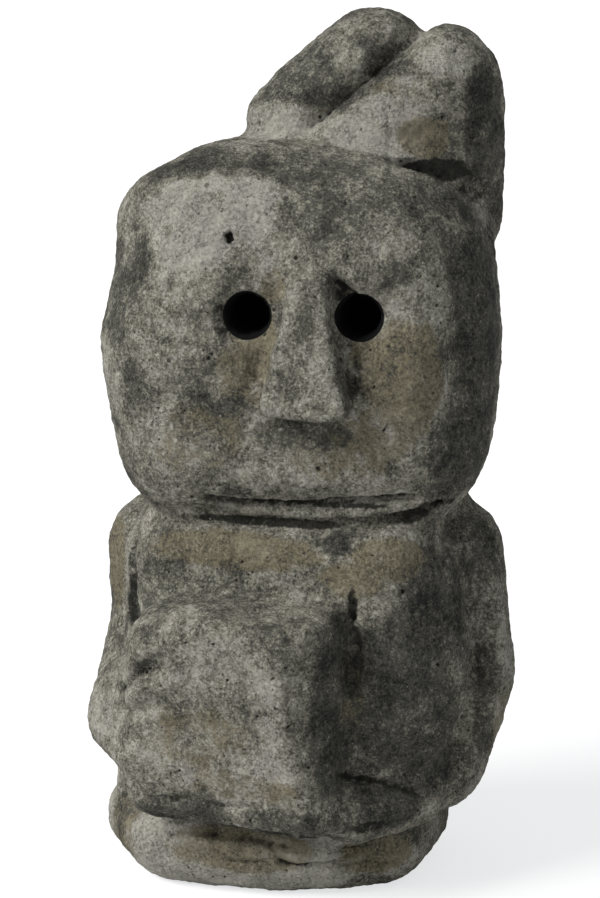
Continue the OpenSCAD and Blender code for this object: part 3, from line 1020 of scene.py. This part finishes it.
class FIGURE_OT_face(FigureOperator, bpy.types.Operator):
    """Cut off the nose, the lower lip and the face"""
    bl_idname = "figure.face"
    bl_label = "Face, nose and lip"

    def execute(self, context):
        nose_low, nose_high = NOSE_HEIGHT
        front = box_between("nose_region", (-14, -95, nose_low - 8), (34, -40, nose_high + 6), on_head)
        nose = take("nose_piece", without(front, skin_round("cheeks", HEAD_BALLS, on_head, grow=1.0)))
        finish_piece(nose, "carved_nose", "nose")
        lip = box_between("lip_region", (-42, -95, NECK_Z - 20), (24, -32, MOUTH_Z), on_head)
        corner = wrap("lip_corner", [
            box_between("inner", (20, -95, NECK_Z - 20), (22, -32, MOUTH_Z), on_head),
            box_between("outer", (54, -95, NECK_Z - 20), (56, -32, MOUTH_CORNER_Z), on_head),
        ])
        cut(lip, corner, "UNION")
        discard(corner)
        finish_piece(take("lip_piece", lip, half_space(NECK_AT, NECK_UP)), "carved_lower_lip", "lower_lip")
        ahead = half_space((0, -FACE_BACK, 0), (0, -1, 0), on_head)
        finish_piece(take("face_piece", ahead, half_space(NECK_AT, NECK_UP)), "carved_face", "face")
        return {"FINISHED"}


class FIGURE_OT_skull(FigureOperator, bpy.types.Operator):
    """Cut off the skull along the groove of the neck"""
    bl_idname = "figure.skull"
    bl_label = "Skull"

    def execute(self, context):
        finish_piece(take("skull_piece", half_space(NECK_AT, NECK_UP)), "carved_skull", "skull")
        return {"FINISHED"}


class FIGURE_OT_block(FigureOperator, bpy.types.Operator):
    """Cut off the block that the figure holds"""
    bl_idname = "figure.block"
    bl_label = "Held block"

    def execute(self, context):
        region = without(skin_round("block_region", BLOCK_BALLS, grow=3),
                         skin_round("chest", TORSO_BALLS, grow=0.5))
        finish_piece(take("block_piece", region), "carved_block", "held_block")
        return {"FINISHED"}


class FIGURE_OT_limbs(FigureOperator, bpy.types.Operator):
    """Cut off the hands and the arms"""
    bl_idname = "figure.limbs"
    bl_label = "Hands and arms"

    def execute(self, context):
        regions = {
            "right_hand": skin_round("region", RIGHT_HAND_BALLS, grow=4),
            "left_hand": skin_round("region", LEFT_HAND_BALLS, grow=4),
            "right_arm": skin_round("region", RIGHT_ARM_BALLS, grow=3),
            "left_arm": skin_round("region", LEFT_ARM_BALLS, grow=3),
        }
        for node, region in regions.items():
            region = without(region, skin_round("chest", TORSO_BALLS, grow=0.5))
            finish_piece(take("limb_piece", region), "carved_" + node, node)
        return {"FINISHED"}


class FIGURE_OT_torso(FigureOperator, bpy.types.Operator):
    """Keep what is left of the stone as the torso"""
    bl_idname = "figure.torso"
    bl_label = "Torso"

    def execute(self, context):
        finish_piece(bpy.data.objects[FORM], "carved_torso", "torso")
        return {"FINISHED"}


def camera_rays(g, seen, unseen):
    """Shows one shader to the camera, and lights the scene by another."""
    seen_first = g.add("ShaderNodeLightPath").outputs["Is Camera Ray"]
    return g.add("ShaderNodeMixShader", {0: seen_first, 1: unseen, 2: seen}).outputs[0]


def floor_paint():
    """White paper, bright enough that only the shadow shows."""
    paint = bpy.data.materials.new("white_paper")
    paint.use_nodes = True
    paint.node_tree.nodes.clear()
    g = Graph(paint.node_tree)
    glow = g.add("ShaderNodeEmission", {"Color": (0.98, 0.99, 1.0, 1), "Strength": 0.70}).outputs[0]
    seen = g.add("ShaderNodeAddShader", {0: glow, 1: g.add("ShaderNodeBsdfDiffuse", {
        "Color": (0.54, 0.53, 0.52, 1)}).outputs[0]}).outputs[0]
    paper = g.add("ShaderNodeBsdfDiffuse", {"Color": (0.7, 0.7, 0.7, 1)}).outputs[0]
    g.add("ShaderNodeOutputMaterial", {"Surface": camera_rays(g, seen, paper)})
    return paint


def surroundings(strength):
    """A white room that gives only a weak light of its own."""
    world = bpy.data.worlds.new("white_room")
    world.use_nodes = True
    world.node_tree.nodes.clear()
    g = Graph(world.node_tree)
    white = g.add("ShaderNodeBackground", {"Color": (1, 1, 1, 1), "Strength": 1.0}).outputs[0]
    weak = g.add("ShaderNodeBackground", {"Color": (0.95, 0.98, 1.0, 1), "Strength": strength}).outputs[0]
    g.add("ShaderNodeOutputWorld", {"Surface": camera_rays(g, white, weak)})
    return world


class FIGURE_OT_stage(FigureOperator, bpy.types.Operator):
    """Set the white floor, the soft lights and the camera"""
    bl_idname = "figure.stage"
    bl_label = "Stage"

    def execute(self, context):
        stage = context.scene.figure_stage
        bpy.ops.mesh.primitive_plane_add(size=60)
        floor = context.object
        floor.name = "white_floor"
        floor.data.materials.append(floor_paint())
        context.scene.world = surroundings(stage.fill)
        bpy.ops.object.light_add(type="SUN")
        key = context.object
        key.name = "key_light"
        key.rotation_euler = Vector(stage.key_from).to_track_quat("Z", "Y").to_euler()
        key.data.energy = stage.key
        key.data.angle = stage.key_spread
        around, above = stage.around, stage.above
        way = Vector((
            math.sin(around) * math.cos(above), -math.cos(around) * math.cos(above), math.sin(above),
        ))
        bpy.ops.object.camera_add(location=Vector(stage.aim) + way * stage.distance)
        camera = context.object
        camera.rotation_euler = way.to_track_quat("Z", "Y").to_euler()
        camera.data.sensor_width = 36
        camera.data.lens = stage.lens
        camera.data.clip_start = 0.01
        context.scene.camera = camera
        context.scene.view_settings.view_transform = "Standard"
        return {"FINISHED"}


class FIGURE_PT_panel(bpy.types.Panel):
    bl_label = "Carved stone figure"
    bl_idname = "FIGURE_PT_panel"
    bl_space_type = "VIEW_3D"
    bl_region_type = "UI"
    bl_category = "Figure"

    def draw(self, context):
        for step in STEPS:
            self.layout.operator(step.bl_idname)


STEPS = [
    FIGURE_OT_form, FIGURE_OT_base, FIGURE_OT_topknot, FIGURE_OT_face, FIGURE_OT_skull, FIGURE_OT_block,
    FIGURE_OT_limbs, FIGURE_OT_torso, FIGURE_OT_stage,
]
SETTINGS = {
    "figure_carving": CarvingSettings, "figure_stone": StoneSettings, "figure_stage": StageSettings,
}


def register():
    for settings in SETTINGS.values():
        bpy.utils.register_class(settings)
    for step in STEPS:
        bpy.utils.register_class(step)
    bpy.utils.register_class(FIGURE_PT_panel)
    for name, settings in SETTINGS.items():
        setattr(bpy.types.Scene, name, PointerProperty(type=settings))


def unregister():
    for name in SETTINGS:
        delattr(bpy.types.Scene, name)
    bpy.utils.unregister_class(FIGURE_PT_panel)
    for step in STEPS:
        bpy.utils.unregister_class(step)
    for settings in SETTINGS.values():
        bpy.utils.unregister_class(settings)


def main():
    register()
    for step in STEPS:
        group, name = step.bl_idname.split(".")
        getattr(getattr(bpy.ops, group), name)()


if __name__ == "__main__":
    main()
